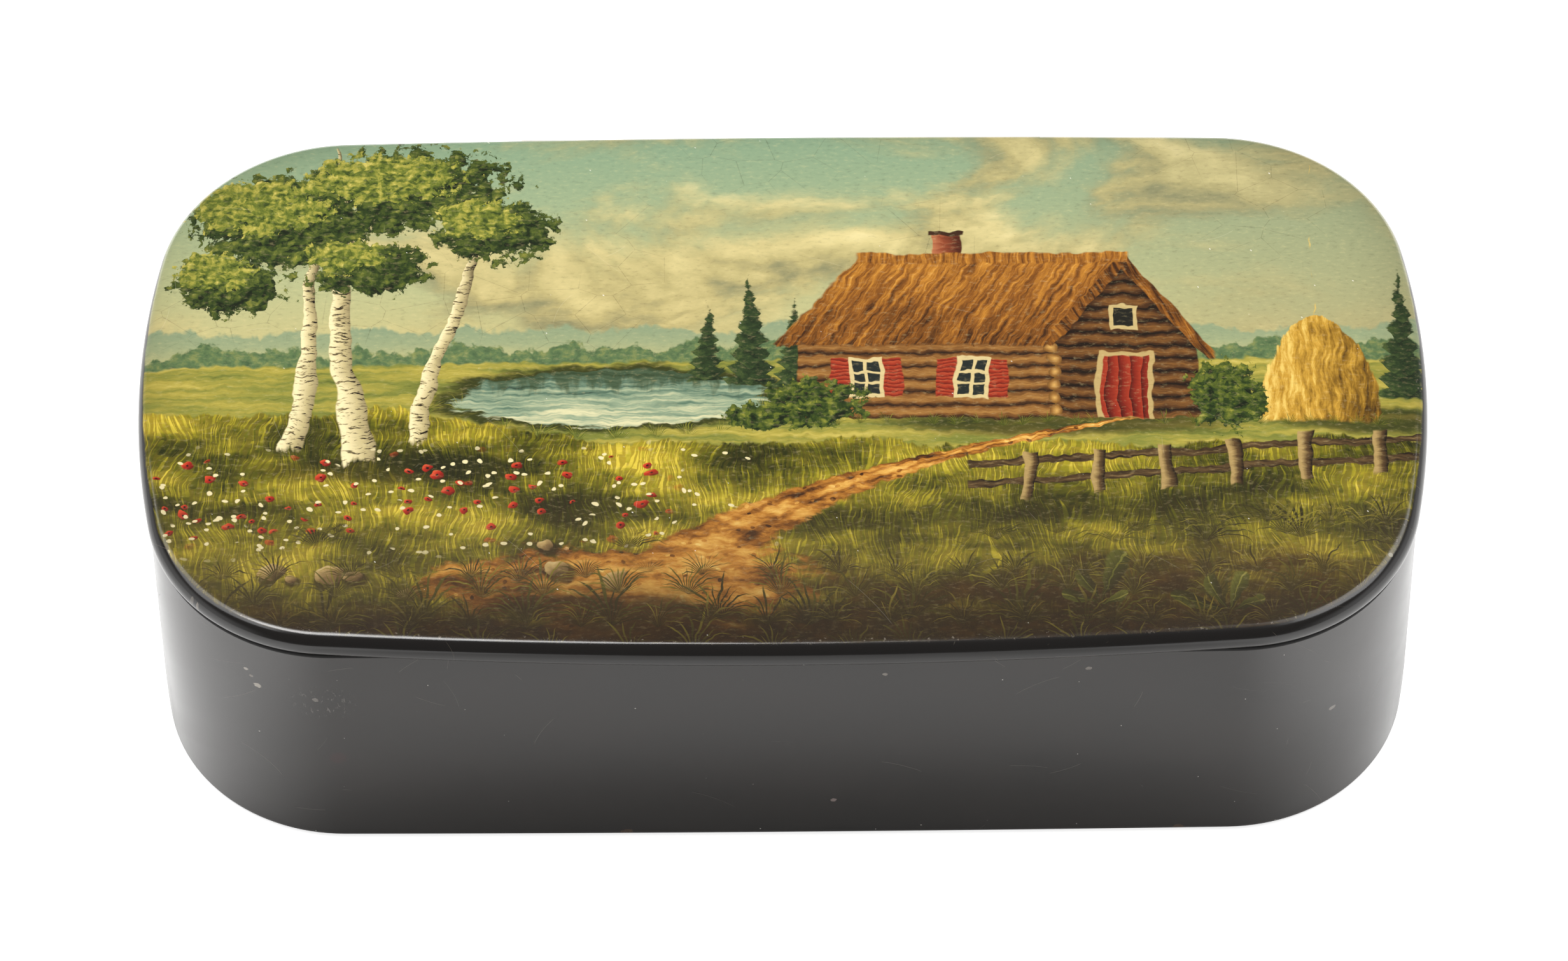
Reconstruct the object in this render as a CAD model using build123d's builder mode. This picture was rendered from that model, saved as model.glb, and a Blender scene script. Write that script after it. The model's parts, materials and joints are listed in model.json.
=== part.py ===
from build123d import *
import os

# Lacquered papier-mache box with a painted lid on a brass hinge, in millimetres, +Z up.
# The origin is the middle of the foot, on the table. X runs along the box, the front faces -Y,
# and the hinge is at the back, +Y.

# Body
box_length = 159.0  # outside of the wall, between the middles of the two ends
box_width = 79.5  # outside of the wall, between the middles of the two long sides
body_height = 37.8  # table to the top of the wall
corner_radius = 23.0  # of the wall's outside, in plan
side_bow = 0.5  # how far each long side swells over the box's length
end_bow = 7.3  # how far each end swells over the box's width
wall = 4.0  # thickness of the wound wall
foot_round = 1.0  # rounding round the foot of the wall
mouth_bevel = 0.4  # round the outer edge of the wall's top
base_thickness = 3.5  # bottom board
base_rebate = 1.6  # how far the bottom board is let into the wall
base_edge = 0.3  # bevel round the underside of the bottom board
glue_line = 0.05  # between curved faces that are glued together

# Collar inside the wall, which the shut lid drops over
collar = 1.6  # thickness
lip = 1.3  # how far the collar stands above the wall
lip_bevel = 0.5  # along both edges of the collar's top

# Lid
seam = 0.3  # gap between the shut lid and the top of the wall
lid_edge = 3.4  # thickness at the middle of each side
lid_crown = 0.9  # rise of the top from the middle of a side to the middle of the lid
lid_overhang = 0.5  # past the wall, all round
thumb_lip = 2.0  # how much further the middle of the front stands out
lid_top_round = 1.8  # rounding of the upper edge
lid_foot_round = 1.0  # rounding of the lower edge
lip_clearance = 0.4  # between the collar and the recess under the lid, all round
lip_headroom = 0.3  # between the top of the collar and the recess

# Hinge
hinge_length = 66.0
knuckle_count = 5  # the first, third and fifth are the body's
barrel_radius = 1.5
knuckle_gap = 0.2  # between neighbouring knuckles
pin_radius = 0.7
pin_fit = 0.05  # between the pin and a knuckle's bore
pin_proud = 0.3  # how far the pin stands out of the last knuckles
pin_bevel = 0.25  # at the pin's ends
solder_line = 0.03  # between a knuckle and its own leaf
barrel_clearance = 0.25  # round the barrel, in the wall, the lid and the other leaf
end_clearance = 0.8  # past the last knuckles, in the wall and the lid
leaf = 0.6  # thickness of a leaf
leaf_land = 1.0  # wall left between a leaf and the collar
leaf_fit = 0.1  # round a leaf, in its pocket
nail_count = 4  # in each leaf
nail_radius = 0.4
nail_fit = 0.02  # round a nail, in its hole
body_nail_length = 5.0
lid_nail_length = 2.2

# Levels and the hinge's axis
lid_foot = body_height + seam
lid_top = lid_foot + lid_edge + lid_crown
bore_inset = wall + glue_line
lid_width = box_width + 2 * lid_overhang
lid_length = box_length + 2 * lid_overhang
axis_y = box_width / 2 + lid_overhang
axis_z = body_height + seam / 2

# Places along the hinge
knuckle_length = (hinge_length - (knuckle_count - 1) * knuckle_gap) / knuckle_count
knuckle_starts = [-hinge_length / 2 + i * (knuckle_length + knuckle_gap) for i in range(knuckle_count)]
body_starts = knuckle_starts[0::2]
lid_starts = knuckle_starts[1::2]
leaf_front = box_width / 2 - wall + leaf_land
leaf_back = axis_y - barrel_radius - barrel_clearance
nail_pitch = hinge_length / nail_count
nail_y = (leaf_front + leaf_back) / 2
nail_spots = [((i + 0.5) * nail_pitch - hinge_length / 2, nail_y) for i in range(nail_count)]
groove_length = hinge_length + 2 * end_clearance


def arc_radius(chord, bow):
    """Radius of an arc that rises by bow over a chord."""
    return (chord**2 / 4 + bow**2) / (2 * bow)


def plan(grow, front_lip=0.0):
    """The box's outline in plan, moved out by grow, with the middle of its front out by front_lip more."""
    end_radius = arc_radius(box_width, end_bow)
    side_radius = arc_radius(box_length, side_bow)
    straight = box_length - 2 * corner_radius
    front_bow = straight**2 / (8 * (side_radius + grow)) + front_lip
    front_radius = arc_radius(straight, front_bow)
    with BuildSketch() as outline:
        with Locations((0, front_radius - box_width / 2 - grow - front_lip)):
            Circle(front_radius)
        with Locations((0, box_width / 2 - side_radius)):
            Circle(side_radius + grow, mode=Mode.INTERSECT)
        for side in (-1, 1):
            with Locations((side * (box_length / 2 - end_radius), 0)):
                Circle(end_radius + grow, mode=Mode.INTERSECT)
        fillet(outline.vertices(), corner_radius + grow)
    return outline.sketch


wall_plan = plan(0)
bore_plan = plan(-wall)
base_plan = plan(-wall + base_rebate - glue_line)
rebate_plan = plan(-wall + base_rebate)
collar_plan = plan(-bore_inset)
inside_plan = plan(-bore_inset - collar)
lid_plan = plan(lid_overhang, thumb_lip)
recess_plan = plan(-bore_inset + lip_clearance)

# Wall: a wound tube with a rebate for the bottom board, and a pocket and a groove for the hinge
with BuildPart() as body_wall:
    with BuildSketch():
        add(wall_plan)
        add(bore_plan, mode=Mode.SUBTRACT)
    extrude(amount=body_height)
    with BuildSketch():
        add(rebate_plan)
    extrude(amount=base_thickness, mode=Mode.SUBTRACT)
    fillet(body_wall.faces().sort_by(Axis.Z)[0].outer_wire().edges(), foot_round)
    chamfer(body_wall.faces().sort_by(Axis.Z)[-1].outer_wire().edges(), mouth_bevel)
    with BuildSketch(Plane.XY.offset(body_height)):
        with Locations((0, leaf_front - leaf_fit)):
            Rectangle(hinge_length + 2 * leaf_fit, wall, align=(Align.CENTER, Align.MIN))
    extrude(amount=-leaf, mode=Mode.SUBTRACT)
    with BuildSketch(Plane.YZ.offset(-groove_length / 2)):
        with Locations((axis_y, axis_z)):
            Circle(barrel_radius + barrel_clearance)
    extrude(amount=groove_length, mode=Mode.SUBTRACT)
    with BuildSketch(Plane.XY.offset(body_height - body_nail_length)):
        with Locations(*nail_spots):
            Circle(nail_radius + nail_fit)
    extrude(amount=body_nail_length, mode=Mode.SUBTRACT)

# Bottom board, glued into the wall's rebate
with BuildPart() as base_board:
    with BuildSketch():
        add(base_plan)
    extrude(amount=base_thickness)
    chamfer(base_board.faces().sort_by(Axis.Z)[0].edges(), base_edge)

# Collar, glued inside the wall and standing on the bottom board
with BuildPart() as inner_collar:
    with BuildSketch(Plane.XY.offset(base_thickness)):
        add(collar_plan)
        add(inside_plan, mode=Mode.SUBTRACT)
    extrude(amount=body_height + lip - base_thickness)
    chamfer(inner_collar.faces().sort_by(Axis.Z)[-1].edges(), lip_bevel)

# Lid board: crowned both ways, with a rounded edge and a shallow recess under it for the collar
with BuildPart() as lid_board:
    with BuildSketch(Plane.XY.offset(lid_foot)):
        add(lid_plan)
    extrude(amount=lid_edge + lid_crown)
    cross_radius = arc_radius(lid_width, lid_crown)
    long_radius = arc_radius(lid_length, lid_crown)
    with BuildSketch(Plane.YZ):
        with Locations((0, lid_top - cross_radius)):
            Circle(cross_radius)
        with Locations((0, lid_top)):
            Rectangle(2 * lid_width, 4 * (lid_edge + lid_crown), mode=Mode.INTERSECT)
    revolve(axis=Axis((0, 0, lid_top - long_radius), (0, 1, 0)), mode=Mode.INTERSECT)
    fillet(lid_board.faces().sort_by(Axis.Z)[-1].outer_wire().edges(), lid_top_round)
    fillet(lid_board.faces().sort_by(Axis.Z)[0].outer_wire().edges(), lid_foot_round)
    with BuildSketch(Plane.XY.offset(lid_foot)):
        add(recess_plan)
    extrude(amount=lip + lip_headroom, mode=Mode.SUBTRACT)
    with BuildSketch(Plane.XY.offset(lid_foot)):
        with Locations((0, leaf_front - leaf_fit)):
            Rectangle(hinge_length + 2 * leaf_fit, wall, align=(Align.CENTER, Align.MIN))
    extrude(amount=leaf, mode=Mode.SUBTRACT)
    with BuildSketch(Plane.YZ.offset(-groove_length / 2)):
        with Locations((axis_y, axis_z)):
            Circle(barrel_radius + barrel_clearance)
    extrude(amount=groove_length, mode=Mode.SUBTRACT)
    with BuildSketch(Plane.XY.offset(lid_foot)):
        with Locations(*nail_spots):
            Circle(nail_radius + nail_fit)
    extrude(amount=lid_nail_length, mode=Mode.SUBTRACT)


def hinge_leaf(foot, own_starts, other_starts):
    """A brass strip from foot upwards, hollowed along its back edge for both sets of knuckles."""
    hollows = [(start, 0.0, solder_line) for start in own_starts]
    hollows += [(start, knuckle_gap, barrel_clearance) for start in other_starts]
    with BuildPart() as strip:
        with BuildSketch(Plane.XY.offset(foot)):
            with Locations((0, leaf_front)):
                Rectangle(hinge_length, axis_y - leaf_front, align=(Align.CENTER, Align.MIN))
            with Locations(*nail_spots):
                Circle(nail_radius + nail_fit, mode=Mode.SUBTRACT)
        extrude(amount=leaf)
        for start, end_room, room in hollows:
            with BuildSketch(Plane.YZ.offset(start - end_room)):
                with Locations((axis_y, axis_z)):
                    Circle(barrel_radius + room)
            extrude(amount=knuckle_length + 2 * end_room, mode=Mode.SUBTRACT)
    return strip


def knuckles(starts):
    """Lengths of brass tube on the hinge's axis."""
    with BuildPart() as tubes:
        for start in starts:
            with BuildSketch(Plane.YZ.offset(start)):
                with Locations((axis_y, axis_z)):
                    Circle(barrel_radius)
                    Circle(pin_radius + pin_fit, mode=Mode.SUBTRACT)
            extrude(amount=knuckle_length)
    return tubes


def leaf_nails(point, length):
    """Brass nails from the level of their points upwards."""
    with BuildPart() as nails:
        with BuildSketch(Plane.XY.offset(point)):
            with Locations(*nail_spots):
                Circle(nail_radius)
        extrude(amount=length)
    return nails


body_hinge_leaf = hinge_leaf(body_height - leaf, body_starts, lid_starts)
lid_hinge_leaf = hinge_leaf(lid_foot, lid_starts, body_starts)
body_knuckles = knuckles(body_starts)
lid_knuckles = knuckles(lid_starts)
body_leaf_nails = leaf_nails(body_height - body_nail_length, body_nail_length)
lid_leaf_nails = leaf_nails(lid_foot, lid_nail_length)

# Pin: a wire through all the knuckles
with BuildPart() as hinge_pin:
    with BuildSketch(Plane.YZ.offset(-hinge_length / 2 - pin_proud)):
        with Locations((axis_y, axis_z)):
            Circle(pin_radius)
    extrude(amount=hinge_length + 2 * pin_proud)
    chamfer(hinge_pin.edges().filter_by(GeomType.CIRCLE), pin_bevel)

pieces = {
    "body_wall": body_wall,
    "base_board": base_board,
    "inner_collar": inner_collar,
    "lid_board": lid_board,
    "body_hinge_leaf": body_hinge_leaf,
    "lid_hinge_leaf": lid_hinge_leaf,
    "body_knuckles": body_knuckles,
    "lid_knuckles": lid_knuckles,
    "hinge_pin": hinge_pin,
    "body_leaf_nails": body_leaf_nails,
    "lid_leaf_nails": lid_leaf_nails,
}
os.makedirs("parts", exist_ok=True)
for name, piece in pieces.items():
    piece.part.label = name
    export_step(piece.part, f"parts/{name}.step")
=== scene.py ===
import json
import math

import bmesh
import bpy
import numpy as np
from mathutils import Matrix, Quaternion, Vector


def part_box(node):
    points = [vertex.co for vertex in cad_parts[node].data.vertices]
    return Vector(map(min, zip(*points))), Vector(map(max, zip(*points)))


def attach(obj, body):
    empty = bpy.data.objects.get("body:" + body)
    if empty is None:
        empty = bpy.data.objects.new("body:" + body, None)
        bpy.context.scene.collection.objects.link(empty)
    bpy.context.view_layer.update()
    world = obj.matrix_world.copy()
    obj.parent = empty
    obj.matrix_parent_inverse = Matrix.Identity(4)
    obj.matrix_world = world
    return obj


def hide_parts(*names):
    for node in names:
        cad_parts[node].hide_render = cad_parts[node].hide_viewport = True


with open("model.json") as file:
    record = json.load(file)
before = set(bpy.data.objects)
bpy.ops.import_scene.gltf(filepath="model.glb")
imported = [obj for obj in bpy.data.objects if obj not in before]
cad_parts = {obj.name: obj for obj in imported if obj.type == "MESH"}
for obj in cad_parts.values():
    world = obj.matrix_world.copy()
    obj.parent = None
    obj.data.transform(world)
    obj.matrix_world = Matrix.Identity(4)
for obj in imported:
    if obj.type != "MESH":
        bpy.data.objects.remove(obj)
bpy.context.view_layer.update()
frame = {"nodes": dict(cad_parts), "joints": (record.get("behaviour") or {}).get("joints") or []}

MM = 0.001

# Sizes that the frame gives, in metres
wall_low, wall_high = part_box("body_wall")
lid_low, lid_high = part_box("lid_board")
_, base_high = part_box("base_board")
collar_low, collar_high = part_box("inner_collar")
hinge = frame["joints"][0]
AXIS_Y, AXIS_Z = hinge["pos_m"][1], hinge["pos_m"][2]
BODY_LENGTH = wall_high.x - wall_low.x
BODY_WIDTH = wall_high.y - wall_low.y
BODY_HEIGHT = wall_high.z
LID_FOOT = lid_low.z
LID_TOP = lid_high.z
BASE_TOP = base_high.z
LIP_TOP = collar_high.z
OVERHANG = AXIS_Y - wall_high.y
THUMB_LIP = -lid_low.y - BODY_WIDTH / 2 - OVERHANG

# Sizes that the frame doesn't give, the same as the solids'
CORNER_RADIUS = 23.0 * MM
SIDE_BOW = 0.5 * MM
END_BOW = 7.3 * MM
WALL = 4.0 * MM
FOOT_ROUND = 1.0 * MM
MOUTH_ROUND = 0.4 * MM
BASE_REBATE = 1.6 * MM
BASE_EDGE = 0.3 * MM
GLUE_LINE = 0.05 * MM
COLLAR = 1.6 * MM
LIP_ROUND = 0.5 * MM
LID_CROWN = 0.9 * MM
LID_TOP_ROUND = 1.8 * MM
LID_FOOT_ROUND = 1.0 * MM
LIP_CLEARANCE = 0.4 * MM
LIP_HEADROOM = 0.3 * MM
RECESS_BEVEL = 0.15 * MM
CEILING_BEVEL = 0.3 * MM
GROOVE_RADIUS = 1.75 * MM
GROOVE_HALF = 33.8 * MM
POCKET_HALF = 33.1 * MM
POCKET_DEPTH = 0.6 * MM
POCKET_FRONT = 36.65 * MM
# How much further from the rim the middle of the picture counts, in millimetres
FIELD_RIM = 30
RECESS_INSET = WALL + GLUE_LINE - LIP_CLEARANCE
RECESS_TOP = LID_FOOT + LIP_TOP - BODY_HEIGHT + LIP_HEADROOM

# Stations round the outline: how many steps each arc of it takes
END_STEPS = 20
CORNER_STEPS = 28
FRONT_STEPS = 48
BACK_STEPS = 12
GROOVE_STEPS = 2
POCKET_STEPS = 24
PLAIN, GROOVE, POCKET = 0, 1, 2
ROUND_STEPS = 6
LIP_STEPS = 5
TOP_ROUND_STEPS = 10
QUARTER_TURN = math.radians(90)

# Points closer than this are one, and an edge sharper than this is drawn as an edge
WELD = 1e-7
CREASE = math.radians(35)


def arc_radius(chord, bow):
    """Radius of an arc that rises by bow over a chord."""
    return (chord**2 / 4 + bow**2) / (2 * bow)


def corner_centre(side, side_radius, end, end_radius, sign_y):
    """Centre of the corner arc on the right, from the circles of the long side and of the end."""
    gap = math.dist(side, end)
    along = (side_radius**2 - end_radius**2 + gap**2) / (2 * gap)
    across = math.sqrt(side_radius**2 - along**2)
    ux, uy = (end[0] - side[0]) / gap, (end[1] - side[1]) / gap
    foot = (side[0] + along * ux, side[1] + along * uy)
    spots = [(foot[0] - way * uy, foot[1] + way * ux) for way in (-across, across)]
    return max(spots, key=lambda spot: spot[1] * sign_y)


def back_positions(reach):
    """Places across the back from right to left, doubled where the hinge's groove and pocket begin."""
    half = list(np.linspace(reach, GROOVE_HALF, BACK_STEPS))
    half += list(np.linspace(GROOVE_HALF, POCKET_HALF, GROOVE_STEPS))
    middle = list(np.linspace(POCKET_HALF, -POCKET_HALF, POCKET_STEPS + 1))
    return half + middle + [-x for x in reversed(half)]


def outline(front_lip=0.0, grow=0.0):
    """Points and outward normals round the box in plan, anticlockwise from the front of the right end."""
    end_radius = arc_radius(BODY_WIDTH, END_BOW) + grow
    side_radius = arc_radius(BODY_LENGTH, SIDE_BOW) + grow
    corner = CORNER_RADIUS + grow
    straight = BODY_LENGTH - 2 * CORNER_RADIUS
    front_radius = arc_radius(straight, straight**2 / (8 * side_radius) + front_lip)
    end = (BODY_LENGTH / 2 + grow - end_radius, 0.0)
    back = (0.0, BODY_WIDTH / 2 + grow - side_radius)
    front = (0.0, front_radius - BODY_WIDTH / 2 - grow - front_lip)
    high = corner_centre(back, side_radius - corner, end, end_radius - corner, 1)
    low = corner_centre(front, front_radius - corner, end, end_radius - corner, -1)

    def direction(centre, spot):
        return math.atan2(spot[1] - centre[1], spot[0] - centre[0])

    def arc(centre, radius, start, stop, steps):
        angles = np.linspace(start, stop, steps + 1)
        normals = np.stack([np.cos(angles), np.sin(angles)], 1)
        return np.array(centre) + radius * normals, normals

    mirror = np.array([-1.0, 1.0])
    right = arc(end, end_radius, direction(end, low), direction(end, high), END_STEPS)
    back_corner = arc(high, corner, direction(end, high), direction(back, high), CORNER_STEPS)
    front_corner = arc(low, corner, direction(front, low), direction(end, low), CORNER_STEPS)
    reach = back_corner[0][-1][0]
    across = np.array(back_positions(reach))
    back_normals = np.stack([across, np.sqrt(side_radius**2 - across**2)], 1) / side_radius
    back_arc = np.array(back) + side_radius * back_normals, back_normals
    sweep = direction(front, low) + QUARTER_TURN
    front_arc = arc(front, front_radius, -QUARTER_TURN - sweep, -QUARTER_TURN + sweep, FRONT_STEPS)
    left = [[a[::-1] * mirror for a in run] for run in (back_corner, right, front_corner)]
    runs = [right, back_corner, back_arc, *left, front_arc, front_corner]
    points = np.concatenate([run[0][:-1] for run in runs])
    normals = np.concatenate([run[1][:-1] for run in runs])
    return points, normals


def station_kinds():
    """What is let into the rim at each station of an outline."""
    half = [PLAIN] * BACK_STEPS + [GROOVE] * GROOVE_STEPS
    back = half + [POCKET] * (POCKET_STEPS + 1) + half[::-1]
    before = [PLAIN] * (END_STEPS + CORNER_STEPS)
    after = [PLAIN] * (3 * CORNER_STEPS + END_STEPS + FRONT_STEPS)
    return before + back[:-1] + after


BODY_RING = outline()
LID_RING = outline(THUMB_LIP, OVERHANG)
KINDS = station_kinds()


def crown(x, y):
    """Height of the lid's crowned top."""
    long_radius = arc_radius(BODY_LENGTH + 2 * OVERHANG, LID_CROWN)
    cross_radius = arc_radius(BODY_WIDTH + 2 * OVERHANG, LID_CROWN)
    return LID_TOP - x**2 / (2 * long_radius) - y**2 / (2 * cross_radius)


def ring_points(ring, inset, height):
    """A ring as a loop of points, moved in by inset, at a height. Both may differ between stations."""
    points, normals = ring
    place = points - normals * np.reshape(np.broadcast_to(inset, len(points)), (-1, 1))
    return np.column_stack([place, np.broadcast_to(height, len(points))])


def body_loops(spots):
    """Loops round the body, each at an inset and a height."""
    return [ring_points(BODY_RING, *spot) for spot in spots]


def by_kind(plain, groove, pocket):
    """One number for each station, by what is let into the rim there."""
    return np.array([(plain, groove, pocket)[kind] for kind in KINDS])


def rounding(radius, steps):
    """Inset and drop at steps of a rounded edge, from its flat top to its side."""
    for angle in np.radians(np.linspace(0, 90, steps + 1)):
        yield radius * (1 - math.sin(angle)), radius * (1 - math.cos(angle))


def hinge_edge(ring, flat, way, radius, axis_out):
    """Loops over the rounded edge of a flat rim and the hinge's groove and pocket in its back.

    The piece lies under the rim where way is 1 and over it where way is -1. The axis is axis_out behind it.
    """
    start = math.asin(axis_out / GROOVE_RADIUS)
    stops = [math.acos((way * (AXIS_Z - flat) + deep) / GROOVE_RADIUS) for deep in (0.0, POCKET_DEPTH)]
    for share in np.linspace(0, 1, ROUND_STEPS + 1):
        turn = QUARTER_TURN * share
        inset = [radius * (1 - math.cos(turn))]
        height = [flat - way * radius * (1 - math.sin(turn))]
        for stop in stops:
            angle = start + (stop - start) * share
            inset.append(GROOVE_RADIUS * math.sin(angle) - axis_out)
            height.append(AXIS_Z - way * GROOVE_RADIUS * math.cos(angle))
        yield ring_points(ring, by_kind(*inset), by_kind(*height))
    pocket_inset = AXIS_Y - axis_out - POCKET_FRONT
    yield ring_points(ring, pocket_inset, by_kind(flat, flat, flat - way * POCKET_DEPTH))
    yield ring_points(ring, pocket_inset, flat)


def shrinking(loop, shares, height=None):
    """Loops that close in on the middle of a loop, on a surface height(x, y) if it has one."""
    for share in shares:
        inner = loop * np.array([share, share, 1.0])
        if height:
            inner[:, 2] = height(inner[:, 0], inner[:, 1])
        yield inner


def add_object(name, data):
    """An object of the scene."""
    thing = bpy.data.objects.new(name, data)
    bpy.context.scene.collection.objects.link(thing)
    return thing


def loops_to_mesh(name, loops, finishes, closed, materials, rims=None):
    """A mesh skinned over loops of points, capped at its ends unless it is closed.

    Each band between two loops has a finish, and rims says how far in from the rim each loop lies.
    """
    count = len(loops[0])
    mesh = bpy.data.meshes.new(name)
    work = bmesh.new()
    rim = work.verts.layers.float.new("rim") if rims else None
    rows = []
    for index, loop in enumerate(loops):
        rows.append([work.verts.new(place) for place in loop])
        if rims:
            for vert in rows[-1]:
                vert[rim] = rims[index]
    bands = list(zip(rows, rows[1:])) + ([(rows[-1], rows[0])] if closed else [])
    for (first, second), finish in zip(bands, finishes):
        for i in range(count):
            j = (i + 1) % count
            work.faces.new((first[i], first[j], second[j], second[i])).material_index = finish
    if not closed:
        work.faces.new(rows[0]).material_index = finishes[0]
        work.faces.new(rows[-1]).material_index = finishes[-1]
    bmesh.ops.remove_doubles(work, verts=work.verts, dist=WELD)
    bmesh.ops.dissolve_degenerate(work, edges=work.edges, dist=WELD)
    bmesh.ops.recalc_face_normals(work, faces=work.faces)
    for face in work.faces:
        face.smooth = True
    for edge in work.edges:
        edge.smooth = len(edge.link_faces) == 2 and edge.calc_face_angle() < CREASE
    work.to_mesh(mesh)
    work.free()
    for material in materials:
        mesh.materials.append(material)
    return add_object(name, mesh)


def colour(code):
    """A colour written as six hex digits, as the renderer's own light values."""
    channels = [int(code[i:i + 2], 16) / 255 for i in (0, 2, 4)]
    return (*(c / 12.92 if c <= 0.04045 else ((c + 0.055) / 1.055) ** 2.4 for c in channels), 1.0)


def feed(socket, value):
    """Link a field or an output to a node's input, or set a plain value on it."""
    if isinstance(value, Field):
        value = value.socket
    if isinstance(value, bpy.types.NodeSocket):
        socket.id_data.links.new(value, socket)
    else:
        socket.default_value = value


def fill(node, **values):
    """Feed a node's inputs by their names, with _ for a space, and give the node back."""
    for name, value in values.items():
        feed(node.inputs[name.replace("_", " ")], value)
    return node


def add_node(tree, kind, **values):
    """A new node, with what it is fed."""
    return fill(tree.nodes.new("ShaderNode" + kind), **values)


def calculate(tree, operation, *values):
    """One sum of numbers and fields, as a node."""
    node = add_node(tree, "Math")
    node.operation = operation
    for socket, value in zip(node.inputs, values):
        feed(socket, value)
    return Field(tree, node.outputs[0])


def by_name(tree, sockets):
    """Outputs by their names, as fields where they are numbers."""
    return {s.name: Field(tree, s) if s.type == "VALUE" else s for s in sockets}


def sum_of(operation):
    """A method that makes one kind of sum, of a field and what follows it."""
    def method(self, *others):
        return calculate(self.tree, operation, self, *others)
    return method


class Field:
    """A number that changes over a surface. Arithmetic on it adds nodes to its tree."""

    def __init__(self, tree, socket):
        self.tree = tree
        self.socket = socket

    __add__ = __radd__ = sum_of("ADD")
    __sub__ = sum_of("SUBTRACT")
    __mul__ = __rmul__ = sum_of("MULTIPLY")
    __truediv__ = sum_of("DIVIDE")
    __pow__ = sum_of("POWER")
    __abs__ = sum_of("ABSOLUTE")
    least = sum_of("MINIMUM")
    most = sum_of("MAXIMUM")
    floor = sum_of("FLOOR")
    fraction = sum_of("FRACT")
    wave = sum_of("SINE")
    root = sum_of("SQRT")
    bearing = sum_of("ARCTAN2")

    def __rsub__(self, other):
        return calculate(self.tree, "SUBTRACT", other, self)

    def fade(self, low, high):
        """0 at low and 1 at high, with a soft change between."""
        node = add_node(self.tree, "MapRange", Value=self, From_Min=low, From_Max=high)
        node.interpolation_type = "SMOOTHSTEP"
        node.clamp = False
        return Field(self.tree, node.outputs["Result"])

    def between(self, low, high, soft):
        """1 from low to high and 0 outside, with soft edges."""
        return self.fade(low - soft, low + soft) * self.fade(high + soft, high - soft)


def parts(tree, value, kind):
    """The three numbers that a place (XYZ) or a colour (Color) is made of."""
    node = add_node(tree, "Separate" + kind)
    feed(node.inputs[0], value)
    return [Field(tree, socket) for socket in node.outputs]


def apart(dx, dy):
    """The distance over two steps at right angles."""
    return (dx * dx + dy * dy).root()


# Cells in a row, when the cells of a grid are numbered row by row
CELLS_IN_ROW = 211.0


def chance(tree, x, y):
    """Three numbers from 0 to 1, the same wherever the whole numbers x and y are the same."""
    number = y * CELLS_IN_ROW + x
    node = add_node(tree, "TexWhiteNoise")
    node.noise_dimensions = "1D"
    fill(node, W=number)
    return parts(tree, node.outputs["Color"], "Color")


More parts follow.
